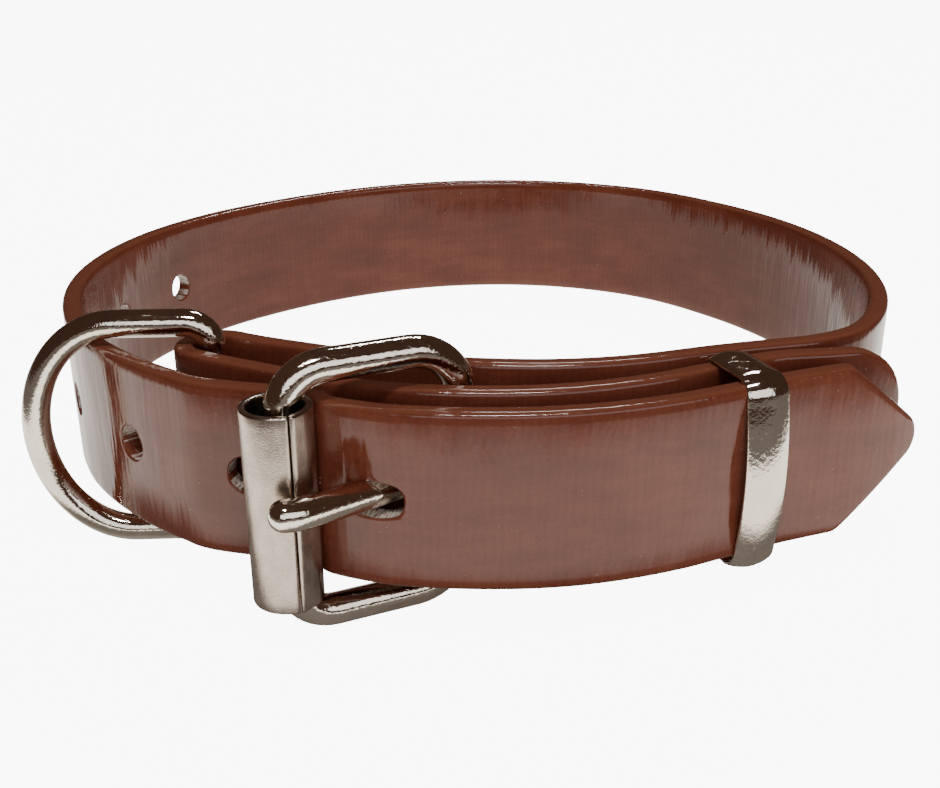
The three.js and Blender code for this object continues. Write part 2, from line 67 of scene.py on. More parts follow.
face_reach = np.array([
    0.996, 0.998, 1.000, 0.992, 0.985, 0.976, 0.966, 0.955, 0.950, 0.966, 0.993, 1.018,
    1.033, 1.033, 1.011, 1.004, 1.004, 1.010, 1.016, 1.014, 1.002, 0.963, 0.904, 0.858,
    0.831, 0.811, 0.780, 0.750, 0.738, 0.738, 0.765])
return_turn, rivet_turn, keeper_turn, heel_turn, fold_turn = 401.0, 406.5, 414.4, 450.8, 491.0
room_turns = np.array([return_turn, rivet_turn, keeper_turn, heel_turn, fold_turn])
room_behind = np.array([2.6, 1.6, 2.8, 7.6, 6.0])
room_before = np.array([2.8, 4.6, 4.6, 4.4, 4.4])
tail_turn, tail_shoulder = 404.0, 459.0
tail_free, tail_curl = 16.6, 14.0
return_free, return_curl = 11.4, 22.0
tip_taper, tip_round = 16.0, 4.0
return_corner = 10.0
fold_bore = 6.0
route_step, span_steps, end_pitch, line_pitch, probe_pitch = 4.0, 40, 3.0, 0.4, 0.25
tiny = 1e-6
frame_wire, frame_reach, frame_lean = 4.5, 24.9, math.radians(24.1)
roller_wide, roller_aside = 9.5, 0.4
roller_wrap = np.radians(np.linspace(-42.0, 14.0, 5))
prong_wire, prong_overhang, prong_rise = 4.3, 3.9, 1.9
seam_spread = math.radians(27.0)
hole_wide, hole_pitch, prong_pull = 5.2, 20.9, 1.6
buckle_drop = 0.55
buckle_height = half_wide - buckle_drop


def stand(points):
    """Collar frame in mm to the scene's metres: turned about X by the lean, then moved to where the collar
    stands."""
    x, y, z = np.moveaxis(np.asarray(points, float), -1, 0)
    c, s = math.cos(lean), math.sin(lean)
    turned = np.stack([x, y * c - z * s, y * s + z * c], -1)
    return (turned + stands_at) / 1000


def along(turns, values, at):
    """Smooth curve through (turn, value) pairs: a cubic between neighbours, with the slope at each pair taken
    across the two pairs beside it."""
    slope = np.empty_like(values)
    slope[1:-1] = (values[2:] - values[:-2]) / (turns[2:] - turns[:-2])
    slope[0] = (values[1] - values[0]) / (turns[1] - turns[0])
    slope[-1] = (values[-1] - values[-2]) / (turns[-1] - turns[-2])
    at = np.asarray(at, float)
    b = np.clip(np.searchsorted(turns, at), 1, len(turns) - 1)
    a = b - 1
    span = turns[b] - turns[a]
    s = (at - turns[a]) / span
    return (values[a] * (1 + 2 * s) * (1 - s) ** 2 + values[b] * s * s * (3 - 2 * s)
            + slope[a] * span * s * (1 - s) ** 2 - slope[b] * span * s * s * (1 - s))


def unit(vectors):
    """Each vector divided by its length."""
    return vectors / np.linalg.norm(vectors, axis=-1, keepdims=True)


def leftward(vectors):
    """A plan vector turned a quarter to its left, which is outwards where the strap runs clockwise."""
    return np.stack([-vectors[..., 1], vectors[..., 0]], -1)


def face_point(turn):
    """Plan point of the loop's outer face: its reach at the turn, the turn counted clockwise from the
    right."""
    reach = along(face_turns, face_reach, turn) * loop_half
    angle = np.radians(turn)
    return np.stack([reach * np.cos(angle), -reach * np.sin(angle)], -1)


def outside(turn, distance):
    """Plan point that distance outside the loop's outer face, on the face's normal at the turn."""
    turn = np.asarray(turn, float)
    normal = leftward(unit(face_point(turn + 0.5) - face_point(turn - 0.5)))
    return face_point(turn) + normal * np.asarray(distance)[..., None]


def behind(turn):
    """Room between the inner and the middle layer at a turn."""
    return along(room_turns, room_behind, turn)


def before(turn):
    """Room between the middle layer and the tail at a turn."""
    return along(room_turns, room_before, turn)


def inner_layer(turn):
    """Middle line of the inner layer: half a thickness inside the loop's outer face."""
    return outside(turn, -half_thick + 0 * np.asarray(turn, float))


def middle_layer(turn):
    """Middle line of the layer that comes back from the ring: outside the face by the room and half a
    thickness."""
    return outside(turn, behind(turn) + half_thick)


def tail_layer(turn):
    """Middle line of the tail: outside the face by both rooms, the middle layer and half a thickness."""
    return outside(turn, behind(turn) + before(turn) + 3 * half_thick)


def free_end(layer, turn, length, curl):
    """Plan points of a free end: it leaves its layer along the layer's run and curls in evenly over its
    length."""
    pieces = math.ceil(length / end_pitch)
    first = layer(turn)
    heading = first - layer(turn + 1)
    angle = math.atan2(heading[1], heading[0]) + math.radians(curl) * (np.arange(pieces) + 0.5) / pieces
    return first + np.cumsum(np.stack([np.cos(angle), np.sin(angle)], -1), 0) * length / pieces


def smooth_line(points, pieces):
    """Centripetal curve through the points: between two of them a cubic whose end slopes weigh the
    neighbours by the square root of their distance; pieces steps a span."""
    p = np.vstack([2 * points[0] - points[1], points, 2 * points[-1] - points[-2]])
    gap = np.sqrt(np.linalg.norm(np.diff(p, axis=0), axis=1))[:, None]
    step = np.diff(p, axis=0)
    d0, d1, d2 = gap[:-2], gap[1:-1], gap[2:]
    out = (step[:-2] / d0 - (p[2:-1] - p[:-3]) / (d0 + d1) + step[1:-1] / d1) * d1
    into = (step[1:-1] / d1 - (p[3:] - p[1:-2]) / (d1 + d2) + step[2:] / d2) * d1
    t = (np.arange(pieces) / pieces)[None, :, None]
    a, b = p[1:-2, None], p[2:-1, None]
    out, into = out[:, None], into[:, None]
    line = (a * (2 * t ** 3 - 3 * t ** 2 + 1) + b * (3 * t ** 2 - 2 * t ** 3)
            + out * (t ** 3 - 2 * t ** 2 + t) + into * (t ** 3 - t ** 2))
    return np.vstack([line.reshape(-1, points.shape[1]), points[-1:]])


heel = outside(heel_turn, behind(heel_turn) - clearance - frame_wire / 2)
frame_run = -np.array([math.cos(frame_lean), math.sin(frame_lean)])
frame_out = leftward(frame_run)
roller_middle = heel + frame_run * frame_reach - np.array([roller_aside, 0])
fold_centre = outside(fold_turn, fold_bore / 2)
seam_reach = roller_wide / 2 / math.cos(seam_spread)
prong_crest = roller_middle + frame_out * (seam_reach + clearance + prong_wire / 2)
prong_end = prong_crest + frame_run * (prong_overhang - prong_wire / 2)
shank_run = unit(prong_crest - heel)

pressed = -unit(roller_middle) * (roller_wide / 2 + clearance + half_thick)
wrap = roller_middle + np.stack([
    pressed[0] * np.cos(roller_wrap) - pressed[1] * np.sin(roller_wrap),
    pressed[0] * np.sin(roller_wrap) + pressed[1] * np.cos(roller_wrap)], -1)
fold_out = face_point(fold_turn + 0.5) - face_point(fold_turn - 0.5)
fold_start = math.atan2(-fold_out[0], fold_out[1])
fold_angle = fold_start + np.pi * np.linspace(0, 1, 9)
fold = fold_centre + np.stack([np.cos(fold_angle), np.sin(fold_angle)], -1) * (fold_bore / 2 + half_thick)
strap_line = smooth_line(np.vstack([
    free_end(tail_layer, tail_turn, tail_free, tail_curl)[::-1],
    tail_layer(np.append(np.arange(tail_turn, tail_shoulder, route_step), tail_shoulder)),
    wrap,
    inner_layer(np.arange(face_turns[0], fold_turn, route_step)),
    fold,
    middle_layer(np.append(np.arange(fold_turn - route_step, return_turn + 1, -route_step), return_turn)),
    free_end(middle_layer, return_turn, return_free, return_curl)]), span_steps)
line_length = np.append(0, np.cumsum(np.linalg.norm(np.diff(strap_line, axis=0), axis=1)))
strap_length = line_length[-1]
even = np.linspace(0, strap_length, int(strap_length / line_pitch))
even_line = np.stack([np.interp(even, line_length, strap_line[:, k]) for k in (0, 1)], -1)
even_out = leftward(unit(np.gradient(even_line, axis=0)))


def strap_place(lay):
    """Point of the strap from (length from the tip, height from the middle of the width, depth from the
    middle of the thickness): the line's point at that length, plus its normal times the depth, at that
    height."""
    length, height, depth = np.moveaxis(lay, -1, 0)
    x = np.interp(length, even, even_line[:, 0]) + np.interp(length, even, even_out[:, 0]) * depth
    y = np.interp(length, even, even_line[:, 1]) + np.interp(length, even, even_out[:, 1]) * depth
    return np.stack([x, y, half_wide + height], -1)


def places(stops, pitches):
    """Places from the first stop to the last, evenly spaced from stop to stop at no more than each pitch."""
    spans = [np.linspace(a, b, max(math.ceil((b - a) / p - tiny), 1), endpoint=False)
             for a, b, p in zip(stops[:-1], stops[1:], pitches)]
    return np.concatenate(spans + [np.array(stops[-1:])])


# The shank leaves the eye and crosses the tail where the line from the heel bar to the roller meets it.
# lift is how squarely it does so, and slide how far its mouth is shifted on each face.
probe = np.arange(0, 2 * loop_half, probe_pitch)
offset = np.stack([np.interp(probe, even, even_line[:, k]) for k in (0, 1)], -1) - heel
miss = np.abs(offset[:, 0] * shank_run[1] - offset[:, 1] * shank_run[0])
miss[offset @ shank_run < 0] = np.inf
crossing = probe[np.argmin(miss)]
crossing_out = np.array([np.interp(crossing, even, even_out[:, k]) for k in (0, 1)])
lift = shank_run @ crossing_out
slide = -(shank_run @ leftward(crossing_out)) / lift * half_thick
shank_half = (prong_wire / 2 + clearance) / lift

# Each opening: its length from the tip, the half length of the grid's square that is bent to its mouth, how
# far along the tape the bending reaches, its half length and half height, and how far its mouth is shifted
# on the outer and the inner face.
grid_half, grid_reach = 2.0, 4.8
prong_square, prong_reach, prong_shift = 5.0, 10.4, 0.6
slot_square, slot_reach, slot_room, slot_half_high = 6.4, 12.6, 0.6, 3.35
eye_wall = 1.2
spare_holes = 6
round_half = hole_wide / 2
near_slot = outside(heel_turn, behind(heel_turn) + half_thick)
slot_slant = math.acos(shank_run @ unit(near_slot - heel))
slot_right = frame_wire / 2 + clearance + eye_wall + slot_room
slot_left = ((frame_wire / 2 + clearance + strap_thick) * math.tan(slot_slant)
             + prong_wire / 2 / math.cos(slot_slant) + slot_room)
to_slot = np.linalg.norm(even_line - near_slot, axis=1)
to_slot[even < strap_length / 2] = np.inf
slot_middle = even[np.argmin(to_slot)] - (slot_left - slot_right) / 2
mouth_right = crossing - prong_pull - round_half
outer_left = crossing + slide + shank_half
inner_right = crossing - slide - shank_half
prong_mouth = crossing + prong_shift
openings = [(prong_mouth, prong_square, prong_reach, (outer_left - mouth_right) / 2, round_half,
             (outer_left + mouth_right) / 2 - prong_mouth,
             (inner_right + crossing + slide) / 2 - prong_mouth)]
openings += [(crossing - prong_pull + k * hole_pitch, grid_half, grid_reach, round_half, round_half, 0.0, 0.0)
             for k in range(1, spare_holes + 1)]
openings += [(slot_middle, slot_square, slot_reach, (slot_left + slot_right) / 2, slot_half_high, 0.0, 0.0)]

# The grid: rows across the tape, close together at its ends and openings, and columns along it.
end_round, end_power, tip_relief, return_relief = 1.1, 2.4, 24.0, 16.0
nudge, steepest = 0.001, 1.8
round_rows = np.array([0.0, 0.05, 0.17, 0.36, 0.62, 0.85])
plain_pitch, window_pitch, mouth_pitch, slot_pitch = 0.9, 0.47, 0.4, 0.64
layer_pitch, bend_pitch, edge_pitch = 0.98, 0.5, 1.0
stops, pitches = [end_round], []
for centre, half, reach, *_ in openings[:-1]:
    stops += [centre - reach, centre - half, centre + half, centre + reach]
    pitches += [plain_pitch, window_pitch, mouth_pitch, window_pitch]
fold_from = np.argmin(np.linalg.norm(even_line - fold[0], axis=1))
fold_to = np.argmin(np.linalg.norm(even_line - fold[-1], axis=1))
stops += [even[fold_from], even[fold_to]]
pitches += [layer_pitch, bend_pitch]
centre, half, reach = openings[-1][:3]
stops += [centre - reach, centre - half, centre + half, centre + reach, strap_length - end_round]
pitches += [plain_pitch, plain_pitch, slot_pitch, plain_pitch, plain_pitch]
rows = np.concatenate([round_rows, places(stops, pitches), strap_length - round_rows[::-1]])

flat_half = half_wide - strap_edge
cols = places([-flat_half, -grid_reach, -grid_half, grid_half, grid_reach, flat_half],
              [edge_pitch, window_pitch, mouth_pitch, window_pitch, edge_pitch])
corner = np.linspace(0, np.pi / 2, 5)[1:-1]
side_steps = np.linspace(-1, 1, 4) * (half_thick - strap_edge)


def ring_section():
    """Section of the tape, (height, depth), anticlockwise: the outer face upwards, a quarter round, the
    upper edge down, a quarter round, and the same back on the inner face."""
    inset = half_thick - strap_edge
    outer = np.stack([cols, np.full_like(cols, half_thick)], -1)
    over = np.stack([flat_half + strap_edge * np.sin(corner), inset + strap_edge * np.cos(corner)], -1)
    edge = np.stack([np.full_like(side_steps, half_wide), -side_steps], -1)
    under = over[::-1] * (1, -1)
    half = np.vstack([outer, over, edge, under])
    return np.vstack([half, -half])


section = ring_section()
count = len(section)
mirror = np.argmin(np.linalg.norm(section[:, None] * (1, -1) - section[None], axis=2), axis=1)


def tip_outline(height):
    """How far the tail's cut end stands back from its tip at a height: a circle at the tip, then a straight
    taper."""
    half = math.atan2(half_wide, tip_taper)
    meets = tip_round * math.cos(half)
    away = np.abs(height)
    on_circle = tip_round - np.sqrt(np.maximum(tip_round ** 2 - np.minimum(away, meets) ** 2, 0))
    return on_circle + np.maximum(away - meets, 0) / math.tan(half)


def return_outline(height):
    """How far the square end stands back at a height: straight, with a quarter circle at each corner."""
    past = np.maximum(np.abs(height) - (half_wide - return_corner), 0)
    return return_corner - np.sqrt(np.maximum(return_corner ** 2 - past ** 2, 0))


def end_shift(from_end, height, outline, relief):
    """Distance from a strap's end after its rows are bent to the end's outline: they keep their distance
    from the outline in the rounded rim, then straighten out over the relief."""
    back = outline(height)
    tilt = np.abs(outline(height * (1 - nudge)) - back) / np.maximum(np.abs(height) * nudge, tiny)
    rim = back + end_round * np.sqrt(1 + np.clip(tilt, 0, steepest) ** 2)
    t = np.clip((from_end - end_round) / (relief - end_round), 0, 1)
    inside = rim * (1 - t) + relief * t
    at_rim = back + (rim - back) * from_end / end_round
    return np.where(from_end < end_round, at_rim, np.where(from_end < relief, inside, from_end))


def rim_depth(from_end):
    """Share of the thickness left in an end's rounded rim: a squarish round over its length."""
    t = np.clip(from_end / end_round, 0, 1)
    return (1 - (1 - t) ** end_power) ** (1 / end_power)


def mouth(u, v, half_long, half_high):
    """Outline of an opening from a point (u, v) on the unit square's rim: a circle's point, pulled out
    lengthways."""
    across = u * np.sqrt(1 - v * v / 2)
    up = v * np.sqrt(1 - u * u / 2)
    return half_high * across + (half_long - half_high) * u, half_high * up


length = np.repeat(rows[:, None], count, 1)
height = np.repeat(section[None, :, 0], len(rows), 0)
depth = section[None, :, 1] * (rim_depth(rows) * rim_depth(strap_length - rows))[:, None]
from_tip = end_shift(length, height, tip_outline, tip_relief)
from_return = end_shift(strap_length - length, height, return_outline, return_relief)
length = np.where(length < strap_length / 2, from_tip, strap_length - from_return)
outer_face = np.arange(len(cols))
inner_face = mirror[outer_face]

# The openings: round each the grid's points are moved out to its mouth on both faces, the faces inside the
# mouth are left out, and rings of points through the thickness, rounded at both rims, make its wall.
rim_round = 0.3
quarter = np.linspace(0, np.pi / 2, 4)
wall_out = rim_round * (1 - np.sin(quarter))
wall_depth = half_thick - rim_round * (1 - np.cos(quarter))
wall_out = np.concatenate([wall_out, wall_out[::-1]])
wall_depth = np.concatenate([wall_depth, -wall_depth[::-1]])
grid_index = np.arange(len(rows) * count).reshape(len(rows), count)
keep = np.ones((len(rows) - 1, count), bool)
wall_points = []
wall_faces = []
wall_cut = []
made = len(rows) * count
for centre, half, reach, half_long, half_high, shift_out, shift_in in openings:
    for columns, shift in ((outer_face, shift_out), (inner_face, shift_in)):
        window = np.ix_(np.abs(rows - centre) < reach - tiny, columns[np.abs(cols) < grid_reach - tiny])
        x = (rows[:, None] - centre + 0 * height)[window]
        y = height[window]
        t = np.clip(np.maximum((np.abs(x) - half) / (reach - half),
                               (np.abs(y) - grid_half) / (grid_reach - grid_half)), 0, 1)
        u = x / (half + t * (reach - half))
        v = y / (grid_half + t * (grid_reach - grid_half))
        hole_x, hole_y = mouth(u, v, half_long + rim_round, half_high + rim_round)
        length[window] = centre + (1 - t) * (hole_x + shift) + t * u * reach
        height[window] = (1 - t) * hole_y + t * v * grid_reach
    row_in = np.flatnonzero(np.abs(rows - centre) < half + tiny)
    col_in = np.flatnonzero(np.abs(cols) < grid_half + tiny)
    keep[np.ix_(row_in[:-1], outer_face[col_in][:-1])] = False
    keep[np.ix_(row_in[:-1], inner_face[col_in][1:])] = False
    loop_row = np.concatenate([np.full(len(col_in) - 1, row_in[0]), row_in[:-1],
                               np.full(len(col_in) - 1, row_in[-1]), row_in[:0:-1]])
    loop_col = np.concatenate([col_in[:-1], np.full(len(row_in) - 1, col_in[-1]),
                               col_in[:0:-1], np.full(len(row_in) - 1, col_in[0])])
    u = (rows[loop_row] - centre) / half
    v = cols[loop_col] / grid_half
    share = np.linspace(0, 1, len(wall_out))[1:-1, None]
    out = wall_out[1:-1, None]
    hole_x, hole_y = mouth(u[None], v[None], half_long + out, half_high + out)
    ring = np.stack([centre + hole_x + shift_out * (1 - share) + shift_in * share, hole_y,
                     wall_depth[1:-1, None] + 0 * hole_x], -1)
    rings = np.vstack([grid_index[loop_row, outer_face[loop_col]][None],
                       made + np.arange(ring.shape[0] * ring.shape[1]).reshape(ring.shape[:2]),
                       grid_index[loop_row, inner_face[loop_col]][None]])
    made += ring.shape[0] * ring.shape[1]
    wall_points.append(ring.reshape(-1, 3))
    bare = np.abs(wall_depth[1:-1]) <= half_thick - rim_round + tiny
    wall_cut.append(np.repeat(bare, ring.shape[1]))
    after = np.roll(rings, -1, axis=1)
    wall_faces.append(np.stack([rings[:-1], rings[1:], after[1:], after[:-1]], -1).reshape(-1, 4))

lay = np.vstack([np.stack([length, height, depth + 0 * length], -1).reshape(-1, 3)] + wall_points)
around = np.roll(grid_index, -1, axis=1)
tape_faces = np.stack([grid_index[:-1], grid_index[1:], around[1:], around[:-1]], -1)[keep]
strap_faces = np.vstack([tape_faces] + wall_faces)

# The finish tells the bare cut walls by their depth, which is raised by the mark.
cut_mark = 10.0
marked_lay = lay.copy()
marked_lay[len(rows) * count:, 2] += cut_mark * np.concatenate(wall_cut)
same_place = 1e-6


def piece_of(name, points, faces, lay=None):
    """A piece from points in the collar's frame and rows of four corners. Points that no face uses are left
    out, points within same_place (in metres) are joined, so seams and poles close, and the faces are turned
    outwards. lay, one triple for each point, is kept as the attribute a finish reads."""
    used, corners = np.unique(faces, return_inverse=True)
    mesh = bpy.data.meshes.new(name)
    mesh.from_pydata(stand(points[used]).tolist(), [], corners.reshape(faces.shape).tolist())
    if lay is not None:
        mesh.attributes.new("lay", "FLOAT_VECTOR", "POINT").data.foreach_set(
            "vector", lay[used].astype(np.float32).ravel())
    closed = bmesh.new()
    closed.from_mesh(mesh)
    bmesh.ops.remove_doubles(closed, verts=closed.verts, dist=same_place)
    bmesh.ops.recalc_face_normals(closed, faces=closed.faces)
    closed.to_mesh(mesh)
    closed.free()
    mesh.shade_smooth()
    piece = bpy.data.objects.new(name, mesh)
    bpy.context.scene.collection.objects.link(piece)
    return piece


class Tone:
    """A socket of a material. + - and * between tones and numbers add Math nodes; mixed() and moved() are for
    colours and vectors; node() adds a node of any type, its settings first and then its values or links."""

    def __init__(self, tree, socket=None):
        self.tree = tree
        self.socket = socket

    def give(self, socket, value):
        if isinstance(value, Tone):
            self.tree.links.new(value.socket, socket)
        else:
            socket.default_value = value

    def node(self, kind, settings=None, values=None, output=0):
        made_node = self.tree.nodes.new(kind)
        for key, setting in (settings or {}).items():
            if key == "stops":
                ramp = made_node.color_ramp
                while len(ramp.elements) < len(setting):
                    ramp.elements.new(1.0)
                for element, (place, colour) in zip(ramp.elements, setting):
                    element.position = place
                    element.color = (*colour, 1)
            else:
                setattr(made_node, key, setting)
        for key, value in (values or {}).items():
            self.give(made_node.inputs[key], value)
        return Tone(self.tree, made_node.outputs[output])

    def maths(self, operation, *parts):
        return self.node("ShaderNodeMath", {"operation": operation}, dict(enumerate(parts)))

    def __add__(self, other):
        return self.maths("ADD", self, other)

    def __sub__(self, other):
        return self.maths("SUBTRACT", self, other)

    def __rsub__(self, other):
        return self.maths("SUBTRACT", other, self)

    def __mul__(self, other):
        return self.maths("MULTIPLY", self, other)

    __radd__ = __add__
    __rmul__ = __mul__

    def ramp(self, low, high):
        """0 below low, 1 above high, smooth between them."""
        return self.node("ShaderNodeMapRange", {"interpolation_type": "SMOOTHSTEP"},
                         {"Value": self, "From Min": low, "From Max": high})

    def moved(self, scale):
        """This vector, each of its parts multiplied by the scale's."""
        return self.node("ShaderNodeVectorMath", {"operation": "MULTIPLY"}, {0: self, 1: scale})

    def noise(self, scale, detail=2.0, rough=0.5):
        """Noise of this vector, each of its parts first multiplied by the scale."""
        return self.node("ShaderNodeTexNoise", {"noise_dimensions": "3D"},
                         {"Vector": self.moved(scale), "Scale": 1.0, "Detail": detail, "Roughness": rough})

    def mixed(self, first, second):
        """The first colour where this is 0, the second where it is 1."""
        return self.node("ShaderNodeMix", {"data_type": "RGBA"}, {"Factor": self, 6: first, 7: second}, 2)


def new_finish(name, constants, linked):
    """A material whose surface has constants on its own sockets and what linked(tone) gives on the others."""
    material = bpy.data.materials.new(name)
    material.use_nodes = True
    tree = material.node_tree
    tree.nodes.clear()
    surface = tree.nodes.new("ShaderNodeBsdfPrincipled")
    output = tree.nodes.new("ShaderNodeOutputMaterial")
    tree.links.new(surface.outputs[0], output.inputs[0])
    for key, value in constants.items():
        surface.inputs[key].default_value = value
    tone = Tone(tree)
    for key, value in linked(tone).items():
        tone.give(surface.inputs[key], value)
    return material


dark_brown, middle_brown, light_brown = (
    (0.092, 0.0215, 0.0115), (0.136, 0.0345, 0.0185), (0.190, 0.057, 0.032))
# lit_edge_brown is painted light: a lighter brown for the edges, standing in for the light from above on the
# top edges.
lit_edge_brown, dust_grey = (0.195, 0.062, 0.034, 1), (0.42, 0.36, 0.33, 1)
fibre_dark, fibre_pale = (0.16, 0.085, 0.06, 1), (0.74, 0.68, 0.61, 1)
rib_pitch, rib_wander = 1.15, 1.6
face_from, face_full = 1.15, 1.45
coating_depth = 0.00016


def coating(tone):
    """Brown coating over tape: the weave's ribs show faintly through it on the faces, streaks run across the
    tape, the edges are a lighter red-brown than the faces as painted light, standing in for the light from
    above that falls on the top edges, and there are specks of dust. Where the depth is marked as cut, the
    punch has bared the tape's pale fibres."""
    lay = tone.node("ShaderNodeAttribute", {"attribute_name": "lay"}, {}, "Vector")
    split = lay.node("ShaderNodeSeparateXYZ", {}, {0: lay})
    run = Tone(tone.tree, split.socket.node.outputs["X"])
    deep = Tone(tone.tree, split.socket.node.outputs["Z"])
    face = tone.maths("ABSOLUTE", deep).ramp(face_from, face_full)
    cut = deep.ramp(cut_mark * 0.5, cut_mark * 0.8) * lay.noise((0.55, 0.55, 0.05), 2.0).ramp(0.40, 0.50)
    wander = lay.noise((0.16, 0.3, 0.0), 2.0)
    ribs = tone.maths("SINE", (run + wander * rib_wander) * (2 * math.pi / rib_pitch)) * 0.5 + 0.5
    streaks = lay.noise((1.15, 0.09, 0.4), 4.0, 0.6)
    patches = lay.noise((0.075, 0.24, 0.3), 4.0, 0.6)
    grain = lay.noise((4.2, 4.2, 4.2), 3.0, 0.7)
    level = patches * 0.40 + streaks * 0.11 + ribs * face * 0.025 + grain * 0.22 + 0.13
    colour = level.node("ShaderNodeValToRGB", {"stops": [
        (0.36, dark_brown), (0.50, middle_brown), (0.66, light_brown)]}, {0: level})
    fibres = lay.noise((5.0, 5.0, 0.5), 3.0, 0.7).ramp(0.36, 0.62)
    colour = cut.mixed(colour, fibres.mixed(fibre_dark, fibre_pale))
    dust = (lay.noise((2.6, 2.6, 2.6), 0.0).ramp(0.835, 0.87)
            * lay.noise((0.21, 0.33, 0.4), 1.0).ramp(0.45, 0.7))
    # Painted light: the edges take a lighter brown than the faces, for the light from above that the top
    # edges catch.
    colour = ((1 - face) * 0.8).mixed(colour, lit_edge_brown)
    colour = dust.mixed(colour, dust_grey)
    rough = 0.055 + streaks * 0.07 + dust * 0.4 + cut * 0.35
    waves = lay.noise((0.34, 0.05, 0.2), 2.0)
    bump = waves * 1.3 + streaks * face * 0.16 + ribs * face * 0.035 + grain * 0.03 + dust * 0.5
    normal = tone.node("ShaderNodeBump", {}, {"Strength": 0.8, "Distance": coating_depth, "Height": bump})
    return {"Base Color": colour, "Roughness": rough, "Normal": normal}


strap = piece_of("strap_tape", strap_place(lay), strap_faces, marked_lay)
brown = new_finish("Glossy brown coating", {"IOR": 1.47}, coating)
strap.data.materials.append(brown)
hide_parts("strap")
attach(strap, "collar")

# Buckle frame: one round nickel-plated wire bent to a rectangle with round corners, its ends butted under the
# roller. The heel bar lies behind the strap's middle layer; the two side bars run forward to the roller.
frame_high, front_corner, heel_corner = 35.7, 6.0, 7.2
corner_steps, wire_pitch = 13, 1.2


def bent(centre_out, centre_up, radius_out, radius_up, start, turn, steps):
    """Points (out, up) of a bend: a quarter or half ellipse round its centre, from the start through the
    turn."""
    angle = np.radians(start + turn * np.linspace(0, 1, steps))
    return np.stack([centre_out + radius_out * np.cos(angle), centre_up + radius_up * np.sin(angle)], -1)


def filled(outline, pitch):
    """The closed outline with extra points on its straight stretches, none further apart than the pitch."""
    ends = np.roll(outline, -1, axis=0)
    pieces = [np.linspace(a, b, max(math.ceil(np.linalg.norm(b - a) / pitch), 1), endpoint=False)
              for a, b in zip(outline, ends)]
    return np.vstack(pieces)


def quads(rows_made, columns_made, closed):
    """Faces of a grid whose columns close on themselves, and whose rows do too where closed is true."""
    index = np.arange(rows_made * columns_made).reshape(rows_made, columns_made)
    across = np.roll(index, -1, axis=1)
    next_row, next_across = np.roll(index, -1, axis=0), np.roll(across, -1, axis=0)
    faces = np.stack([index, next_row, next_across, across], -1)
    return (faces if closed else faces[:-1]).reshape(-1, 4)


def upright(outline, origin, run, level):
    """Points of an upright plane: out along the run from the origin, up from the level."""
    return np.stack([origin[0] + run[0] * outline[:, 0], origin[1] + run[1] * outline[:, 0],
                     level + outline[:, 1]], -1)


def closed_wire(outline, radius, run, sides=32):
    """Surface of a wire along a closed upright line: at each point a circle, spanned by the plane's own
    normal and the normal of the line in its plane."""
    tangent = unit(np.roll(outline, -1, axis=0) - np.roll(outline, 1, axis=0))
    flat = np.array([-run[1], run[0], 0.0])
    inward = np.cross(flat, tangent)
    angle = np.linspace(0, 2 * np.pi, sides, endpoint=False)
    points = (outline[:, None] + radius * (np.cos(angle)[None, :, None] * inward[:, None]
                                           + np.sin(angle)[None, :, None] * flat))
    return points.reshape(-1, 3), quads(len(outline), sides, True)


nickel_dark, nickel_light = (0.66, 0.60, 0.52, 1), (0.86, 0.79, 0.69, 1)
nickel_depth = 0.00012


def nickel(tone):
    """Polished nickel plate: slightly warm, with a faint haze, shallow dents and hair-fine pits and
    scratches."""
    place = tone.node("ShaderNodeTexCoord", {}, {}, 3)
    haze = place.noise((90, 90, 90), 3.0)
    dents = place.noise((330, 330, 330), 2.0)
    pits = place.noise((1900, 1900, 1900), 2.0, 0.6)
    scratch = place.noise((700, 4200, 700), 1.0).ramp(0.66, 0.72)
    colour = (haze * 0.7 + pits * 0.3).ramp(0.3, 0.7).mixed(nickel_dark, nickel_light)
    rough = 0.045 + haze * 0.05 + scratch * 0.12
    bump = dents * 0.45 + pits * 0.50 - scratch * 0.08
    normal = tone.node("ShaderNodeBump", {}, {"Strength": 0.55, "Distance": nickel_depth, "Height": bump})
    return {"Base Color": colour, "Roughness": rough, "Normal": normal}


bright = new_finish("Polished nickel plate", {"Metallic": 1.0}, nickel)


def metal_piece(name, node, body, surface, finish):
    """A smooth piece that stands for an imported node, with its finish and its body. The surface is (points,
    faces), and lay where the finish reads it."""
    piece = piece_of(name, *surface)
    piece.data.materials.append(finish)
    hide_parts(node)
    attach(piece, body)


frame_half = frame_high / 2
front_in, front_up = frame_reach - front_corner, frame_half - front_corner
heel_up = frame_half - heel_corner
frame_outline = filled(np.vstack([
    bent(front_in, front_up, front_corner, front_corner, 0, 90, corner_steps),
    bent(heel_corner, heel_up, heel_corner, heel_corner, 90, 90, corner_steps),
    bent(heel_corner, -heel_up, heel_corner, heel_corner, 180, 90, corner_steps),
    bent(front_in, -front_up, front_corner, front_corner, 270, 90, corner_steps)]), wire_pitch)
metal_piece("buckle_frame_wire", "buckle_frame", "collar", closed_wire(
    upright(frame_outline, heel, frame_run, buckle_height), frame_wire / 2, frame_run), bright)

# Roller: sheet steel, satin nickel plated, rolled round the frame's front bar until its two edges meet in a
# blunt corner at the front. It turns freely on the bar.
roller_wall, roller_long, roller_drop = 1.0, 28.0, 0.4
roller_round = 0.32
seam_lean = math.radians(3.4)
seam_gap, seam_round = 0.018, 0.13
sheet_pitch, roller_pitch = 0.2, 1.4
edge_steps, flank_steps, round_steps = 6, 10, 90


